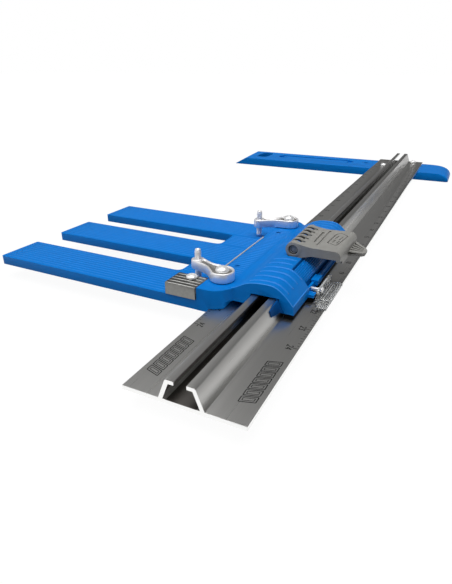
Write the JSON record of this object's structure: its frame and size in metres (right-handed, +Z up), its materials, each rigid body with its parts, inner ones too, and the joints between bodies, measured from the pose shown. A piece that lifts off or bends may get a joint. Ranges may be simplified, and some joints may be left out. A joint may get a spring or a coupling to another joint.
{
  "type": "circular saw rip guide",
  "caption": "Rip guide for a hand-held circular saw: flat scaled rail with an edge guide at one end, and a sliding fingered sled with saw clamps, a cam lever and a clear cursor.",
  "frame": {"origin": "the middle of the rail's underside", "axes": "+X across the rail to the lever's side, away from the fingers; +Y along the rail towards the edge guide; +Z up"},
  "size_m": [0.3786, 0.762, 0.0477],
  "materials": {
    "anodised_aluminium": "satin grey anodised",
    "blue_plastic": "fine satin moulded texture, blue",
    "grey_plastic": "matt, fine moulded texture, grey",
    "plated_casting": "bright plated casting",
    "bright_steel": "bright plated steel",
    "clear_plastic": "clear, polished",
    "slide_plastic": "smooth, low friction, black"
  },
  "bodies": {
    "rail": {"rail": "anodised_aluminium", "edge_guide": "blue_plastic", "fence_screw_left": "bright_steel", "fence_screw_right": "bright_steel", "fence_nut_left": "bright_steel", "fence_nut_right": "bright_steel"},
    "sled": {"sled_body": "blue_plastic", "wear_strip": "bright_steel", "shoe_block": "anodised_aluminium", "shoe_block_screw": "bright_steel", "shoe_block_nut": "bright_steel", "front_pivot_bolt": "bright_steel", "front_pivot_nut": "bright_steel", "rear_pivot_bolt": "bright_steel", "rear_pivot_nut": "bright_steel", "lever_pin": "bright_steel", "cursor_screw": "bright_steel", "glide_strip_left": "slide_plastic", "glide_strip_top_left": "slide_plastic", "glide_strip_top_right": "slide_plastic", "glide_foot_right": "slide_plastic"},
    "lever": {"cam_lever": "grey_plastic"},
    "jaw": {"brake_jaw": "blue_plastic"},
    "front_arm": {"front_clamp_arm": "plated_casting"},
    "rear_arm": {"rear_clamp_arm": "plated_casting"},
    "front_screw": {"front_clamp_screw": "bright_steel"},
    "rear_screw": {"rear_clamp_screw": "bright_steel"},
    "cursor": {"cursor": "clear_plastic"}
  },
  "joints": [
    {"name": "sled_slide", "type": "slide", "parent": "rail", "child": "sled", "axis": [0, 1, 0], "range_m": [-0.09, 0.395]},
    {"name": "lever_hinge", "type": "hinge", "parent": "sled", "child": "lever", "pos_m": [-0.0006, -0.19, 0.0293], "axis": [0, -1, 0], "range_deg": [0, 95]},
    {"name": "jaw_slide", "type": "slide", "parent": "sled", "child": "jaw", "axis": [1, 0, 0], "range_m": [0, 0.0007]},
    {"name": "front_arm_hinge", "type": "hinge", "parent": "sled", "child": "front_arm", "pos_m": [-0.036, -0.264, 0.0173], "axis": [0, 0, 1], "range_deg": [-38, 14]},
    {"name": "rear_arm_hinge", "type": "hinge", "parent": "sled", "child": "rear_arm", "pos_m": [-0.036, -0.1235, 0.0173], "axis": [0, 0, 1], "range_deg": [-60, 32]},
    {"name": "front_screw_travel", "type": "slide", "parent": "front_arm", "child": "front_screw", "axis": [0, 0, 1], "range_m": [-0.0012, 0.008]},
    {"name": "rear_screw_travel", "type": "slide", "parent": "rear_arm", "child": "rear_screw", "axis": [0, 0, 1], "range_m": [-0.0012, 0.008]},
    {"name": "cursor_slide", "type": "slide", "parent": "sled", "child": "cursor", "axis": [0, 1, 0], "range_m": [-0.0025, 0.0025]}
  ],
  "couplings": [
    {"joint": "jaw_slide", "follows": "lever_hinge", "m_per_rad": 0.00036}
  ]
}
